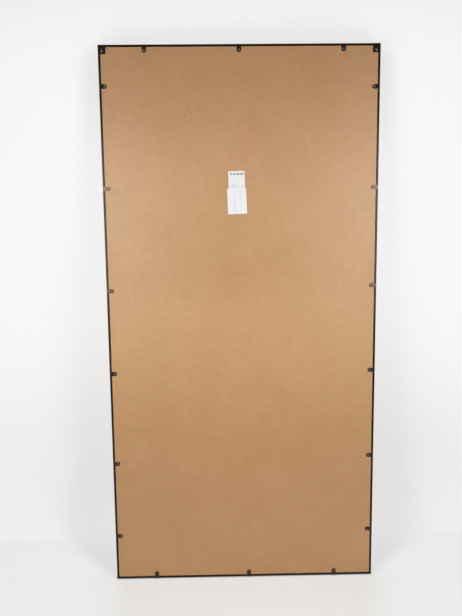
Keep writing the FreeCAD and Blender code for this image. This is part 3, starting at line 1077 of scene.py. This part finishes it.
@dataclass(frozen=True)
class PhotoCamera:
    """The camera at the photograph's place and angle."""

    name: str = "photo_camera"
    place: Point = (0.0573, 1.6725, 1.1318)
    forward: Point = (-0.01209, -0.99449, -0.10417)
    across: Point = (-0.99984, 0.01336, -0.01153)
    focal_pixels: float = 500.0
    image_height: float = 616.0
    sensor: float = 36.0

    def build(self) -> None:
        """Makes the camera and gives it to the scene."""
        forward = Vector(self.forward).normalized()
        across = Vector(self.across)
        across = (across - across.project(forward)).normalized()
        turn = Matrix((across, across.cross(forward), -forward)).transposed().to_4x4()
        data = bpy.data.cameras.new(self.name)
        data.sensor_width = self.sensor
        data.lens = self.focal_pixels * self.sensor / self.image_height
        made = linked(bpy.data.objects.new(self.name, data))
        made.matrix_world = Matrix.Translation(self.place) @ turn
        bpy.context.scene.camera = made


@dataclass(frozen=True)
class Softbox:
    """A rectangular soft lamp that looks at a point."""

    name: str
    place: Point
    aim: Point
    width: float = 0.50
    height: float = 0.98
    power: float = 6.0
    spread: float = 110.0
    unseen: tuple[Rays, ...] = (Rays.CAMERA,)

    def build(self) -> None:
        """Makes the lamp."""
        data = bpy.data.lights.new(self.name, "AREA")
        data.shape = "RECTANGLE"
        data.size = self.width
        data.size_y = self.height
        data.energy = self.power
        data.spread = math.radians(self.spread)
        made = linked(bpy.data.objects.new(self.name, data))
        look = Vector(self.aim) - Vector(self.place)
        turn = look.to_track_quat("-Z", "Y").to_matrix().to_4x4()
        made.matrix_world = Matrix.Translation(self.place) @ turn
        hide(made, self.unseen)
        LOG.info("lit %s", self.name)


@dataclass(frozen=True)
class Card(Finish):
    """An upright card that only shows in reflections, with a glow that changes evenly from floor to top."""

    y: float
    half_width: float
    top: float
    tones: Tones
    unseen: tuple[Rays, ...] = (Rays.CAMERA, Rays.DIFFUSE, Rays.TRANSMISSION, Rays.SHADOW)

    def surface(self, board: NodeBoard) -> Socket:
        """Gives the glow, mixed by height."""
        height = board.axes()[2] / self.top
        return board.glow(board.colour(height, *self.tones))

    def build(self) -> None:
        """Makes the card, a rectangle along X and Z."""
        sides = np.array([-self.half_width, self.half_width])
        z, x = np.meshgrid(np.array([0.0, self.top]), sides, indexing="ij")
        stage_sheet(self.name, np.stack([x, np.full_like(x, self.y), z], axis=-1), self, self.unseen)


@dataclass(frozen=True)
class StageFinish(Finish):
    """A pale finish of the stage, which shows a white by itself with a share of real light and shadow.

    A span holds the places between which something begins or ends, and a band has an amount before them.

    Attributes:
        lit: Its colour under real light.
        wedge_margin: How much wider than the mirror the shadow begins, on each side.
        wedge_edge: Half of the width of the shadow's edge next to the mirror.
        wedge_softening: How fast that edge widens behind the mirror.
    """

    lit: Colour
    wedge_margin: float = 0.022
    wedge_edge: float = 0.02
    wedge_softening: float = 0.25

    def wedge(self, aside: Signal, behind: Signal) -> Signal:
        """Gives the mirror's soft shadow, which spreads sideways as far as it lies behind the mirror."""
        edge = self.wedge_edge + self.wedge_softening * behind
        return ((aside - behind - self.wedge_margin) / edge).fall(-1.0, 1.0)

    def pale(self, board: NodeBoard, white: Socket, share: Signal, solid: Operand) -> Socket:
        """Gives the finish's shader, which is clear from behind.

        Args:
            board: The material's nodes.
            white: The white that it shows by itself.
            share: Share of real light.
            solid: How solid its own side is, 0 to 1.

        Returns:
            The shader's socket.
        """
        lit = board.node("ShaderNodeBsdfDiffuse", None, {"Color": self.lit}).outputs[0]
        seen = board.shader(share, board.glow(white), lit)
        front = board.shader(board.shown_rays(), lit, seen)
        clear = board.node("ShaderNodeBsdfTransparent").outputs[0]
        behind = board.signal("ShaderNodeNewGeometry", output="Backfacing")
        return board.shader(solid * (1.0 - behind), clear, front)


@dataclass(frozen=True)
class PaleFloor(StageFinish):
    """Pale floor, white far off, with the mirror's shadow behind and its warm bounce in front.

    The lines of the mirror's two sides draw together in front of it, by the flare.
    """

    white: Colour = BACKGROUND
    bounce: Colour = (0.926, 0.914, 0.877)
    # colour of the painted contact shadow where the frame meets the floor
    contact_shadow: Colour = (0.0, 0.0, 0.0)
    flare: float = 0.15
    lit_share: float = 0.21
    lit_span: Span = (1.2, 4.5)
    ahead_share: float = 0.13
    ahead_span: Span = (-0.04, 0.0)
    near_span: Span = (0.0, 0.40)
    beside_weight: float = 1.4
    beside_loss: Band = (0.35, 0.03, 0.25)
    corner_loss: Band = (0.65, -0.05, 0.03)
    cast_share: float = 0.135
    cast_start: Span = (-0.45, -0.10)
    cast_end: Span = (-0.02, 0.005)
    cast_warmth: float = 0.4
    bounce_start: Span = (-0.02, 0.05)
    bounce_end: Span = (0.3, 1.3)
    bounce_side: Span = (-0.06, 0.08)
    contact_reach: float = 8.0 * MILLIMETRE
    contact_span: Span = (0.03, 0.06)
    contact_gain: float = 1.8
    contact_most: float = 0.9

    def ahead(self, aside: Signal, along: Signal) -> Signal:
        """Gives the added share of real light in front of the mirror, less at its corners and beside it.

        Args:
            aside: How far a place lies outside the mirror's side.
            along: How far it lies in front.

        Returns:
            The added share.
        """
        beside = aside.either(0.0) * self.beside_weight
        near = beside.length_with(along).fall(*self.near_span)
        kept = 1.0 - aside.step(self.corner_loss) - beside.step(self.beside_loss)
        return self.ahead_share * near * kept * along.rise(*self.ahead_span)

    def surface(self, board: NodeBoard) -> Socket:
        """Gives the floor's shader.

        Args:
            board: The material's nodes.

        Returns:
            The shader's socket.
        """
        across, along, _ = board.axes()
        aside = abs(across) - HALF_WIDTH + self.flare * along.either(0.0)
        cast = self.wedge(aside, (0.0 - along).either(0.0))
        cast = cast * along.rise(*self.cast_start) * along.fall(*self.cast_end)
        share = self.lit_share + self.ahead(aside, along) + self.cast_share * cast
        share = share * across.length_with(along).fall(*self.lit_span)
        front = along.rise(*self.bounce_start) * along.fall(*self.bounce_end)
        front = front * aside.fall(*self.bounce_side)
        bare = board.colour(front.either(self.cast_warmth * cast), self.white, self.bounce)
        # painted contact shadow: darker where the floor lies within reach of the frame's foot
        contact_shade = board.hidden(self.contact_reach) * abs(along).fall(*self.contact_span)
        contact_shade = (contact_shade * self.contact_gain).at_most(self.contact_most)
        return self.pale(board, board.colour(contact_shade, bare, self.contact_shadow), share, 1.0)


@dataclass(frozen=True)
class PaperSweep(StageFinish):
    """White paper sweep that carries the mirror's warm soft shadow and fades out at its borders.

    A pair holds a value at the left and at the right, as seen from behind the mirror.
    """

    white: Colour = (1.0, 1.0, 1.0)
    # colour of the painted shadow that the sweep's white goes towards
    shadow_tint: Colour = (0.20, 0.115, 0.0)
    half_width: float = 1.9
    fade_half_width: float = 1.1
    height: float = 3.2
    fade_height: float = 2.3
    hem_span: Span = (0.006, 0.012)
    lit_share: float = 0.20
    low_lit_share: float = 0.09
    low_span: Span = (0.3, 0.9)
    high_lit: Band = (0.20, 1.75, 2.3)
    foot_span: Span = (-0.50, 0.20)
    right_span: Span = (-0.30, 0.30)
    cover_reach: float = 0.8
    upper_dark: float = 0.072
    top_dark: Band = (0.09, 1.40, 1.80)
    waist_dark: Pair = (0.080, 0.090)
    waist_span: Span = (0.46, 1.05)
    upper_edge: Span = (0.08, 0.15)
    drawn_in: Pair = (0.06, 0.03)
    drawn_start: Span = (1.05, 1.45)
    drawn_loss: Band = (0.7, 1.65, 1.80)
    spread_share: float = 0.70
    foot_spread_share: float = 0.30
    foot_spread_span: Span = (0.0, 0.30)
    lower_gain: Pair = (5.5, 7.7)
    lower_dark: Pair = (0.146, 0.158)
    raised_dark: Band = (0.012, 0.1, 0.4)

    @staticmethod
    def from_left(values: Pair, right: Signal) -> Signal:
        """Gives a pair's value, from its first at the left to its second at the right."""
        return values[0] + (values[1] - values[0]) * right

    def shadow(self, board: NodeBoard) -> Signal:
        """Gives the mirror's shadow: higher up where it covers the sweep, lower down a wedge behind it too.

        Args:
            board: The material's nodes.

        Returns:
            How dark it is.
        """
        across, depth, up = board.axes()
        right = across.fall(*self.right_span)
        hidden = board.hidden(self.cover_reach)
        waist = self.from_left(self.waist_dark, right) * up.fall(*self.waist_span)
        drawn = self.from_left(self.drawn_in, right) * up.rise(*self.drawn_start)
        upper = (hidden - drawn * (1.0 - up.step(self.drawn_loss))).rise(*self.upper_edge)
        upper = upper * (self.upper_dark + up.step(self.top_dark) + waist)
        spread = self.spread_share + self.foot_spread_share * up.fall(*self.foot_spread_span)
        wedge = self.wedge(abs(across) - HALF_WIDTH, (0.0 - depth) * spread)
        covered = (hidden * self.from_left(self.lower_gain, right)).at_most(1.0)
        lower = wedge.either(covered) * up.fall(*self.low_span)
        lower = lower * (self.from_left(self.lower_dark, right) + up.step(self.raised_dark))
        return upper.either(lower)

    def surface(self, board: NodeBoard) -> Socket:
        """Gives the sweep's shader.

        Args:
            board: The material's nodes.

        Returns:
            The shader's socket.
        """
        across, _, up = board.axes()
        inside = abs(across).fall(self.fade_half_width, self.half_width)
        inside = inside * up.fall(self.fade_height, self.height)
        share = self.lit_share + self.low_lit_share * up.fall(*self.low_span)
        share = inside * (share + up.step(self.high_lit)) * up.rise(*self.foot_span)
        # painted shadow of the mirror on the sweep
        white = board.colour(self.shadow(board), self.white, self.shadow_tint)
        return self.pale(board, white, share, inside * up.rise(*self.hem_span))


SOFTBOXES = (
    Softbox("softbox_left", place=(0.797, 1.55, 1.32), aim=(0.24, 0.0, 0.90)),
    Softbox("softbox_right", place=(-0.898, 1.55, 1.32), aim=(-0.27, 0.0, 0.90)),
    Softbox(
        "low_fill",
        place=(0.0, 1.5, 0.25),
        aim=(0.0, 0.0, 0.05),
        width=1.4,
        height=0.4,
        power=0.35,
        spread=100.0,
        unseen=(Rays.CAMERA, Rays.GLOSSY),
    ),
)
CARDS = (
    Card("dark_room", y=2.8, half_width=3.5, top=4.0, tones=((0.10, 0.10, 0.10), (0.06, 0.06, 0.06))),
    Card("grey_rise", y=-4.5, half_width=6.0, top=5.0, tones=((0.62, 0.64, 0.66), (0.26, 0.28, 0.31))),
)


@dataclass(frozen=True)
class Studio:
    """The pale floor, the paper sweep behind, the soft lamps, the cards and the light all round."""

    air: Colour = (1.0, 1.0, 1.0)
    air_level: float = 0.19
    floor_finish: PaleFloor = PaleFloor("pale_floor", lit=(0.86, 0.86, 0.865))
    floor_reach: float = 9.0
    floor_drop: float = 0.2 * MILLIMETRE
    floor_points: int = 3
    floor_unseen: tuple[Rays, ...] = (Rays.SHADOW,)
    sweep_finish: PaperSweep = PaperSweep("paper_sweep", lit=(0.95, 0.95, 0.955))
    sweep_top_y: float = -0.050
    sweep_lean: float = 0.149
    sweep_cove: float = 0.14
    sweep_bend_points: int = 13
    sweep_wall_points: int = 12
    sweep_columns: int = 9
    sweep_unseen: tuple[Rays, ...] = (Rays.DIFFUSE, Rays.GLOSSY, Rays.TRANSMISSION, Rays.SHADOW)
    lamps: tuple[Softbox, ...] = SOFTBOXES
    cards: tuple[Card, ...] = CARDS

    def floor(self) -> None:
        """Makes the floor, a flat square grid just under the frame."""
        reach = np.linspace(-self.floor_reach, self.floor_reach, self.floor_points)
        y, x = np.meshgrid(reach, reach, indexing="ij")
        top = np.stack([x, y, np.full_like(x, -self.floor_drop)], axis=-1)
        stage_sheet("floor", top, self.floor_finish, self.floor_unseen)

    def sweep(self) -> None:
        """Makes the paper sweep behind the mirror, which only the camera sees, and only from its own side.

        The profile goes up a quarter circle from the floor, then straight up with the wall's lean, and is
        carried along X.
        """
        finish = self.sweep_finish
        cove = self.sweep_cove
        foot = self.sweep_top_y - self.sweep_lean * CAD_BOX[1].z
        quarter = np.linspace(0.0, 0.5 * math.pi, self.sweep_bend_points)
        bend_y = foot + cove - cove * np.sin(quarter)
        bend_z = cove - cove * np.cos(quarter)
        wall_z = np.linspace(cove, finish.height, self.sweep_wall_points)[1:]
        profile_y = np.concatenate([bend_y, foot + self.sweep_lean * (wall_z - cove)])
        profile_z = np.concatenate([bend_z, wall_z])
        x = np.linspace(finish.half_width, -finish.half_width, self.sweep_columns)
        grid_y, grid_x = np.meshgrid(profile_y, x, indexing="ij")
        grid_z = np.repeat(profile_z[:, None], len(x), axis=1)
        points = np.stack([grid_x, grid_y, grid_z], axis=-1)
        stage_sheet("paper_sweep", points, finish, self.sweep_unseen)

    def air_light(self) -> None:
        """Makes the world: a low light all round, and the pale background where it is seen."""
        world = bpy.data.worlds.new("studio_air")
        world.use_nodes = True
        bpy.context.scene.world = world
        board = NodeBoard(world.node_tree)
        light = board.node("ShaderNodeBackground", None, {"Color": self.air, "Strength": self.air_level})
        shown = board.node("ShaderNodeBackground", None, {"Color": BACKGROUND, "Strength": 1.0})
        mixed = board.shader(board.shown_rays(), light.outputs[0], shown.outputs[0])
        board.node("ShaderNodeOutputWorld", None, {"Surface": mixed})

    def build(self) -> None:
        """Makes everything round the object."""
        self.floor()
        self.sweep()
        self.air_light()
        for piece in self.lamps + self.cards:
            piece.build()


def main() -> None:
    """Builds and dresses the mirror, then the studio round it."""
    logging.basicConfig(level=logging.INFO, format="%(name)s: %(message)s")
    bpy.context.scene.view_settings.view_transform = "Standard"
    SteelFrame().dress()
    GlassPack().dress()
    Fixings().dress()
    for label in LABELS:
        label.build()
    Studio().build()
    PhotoCamera().build()


if __name__ == "__main__":
    main()
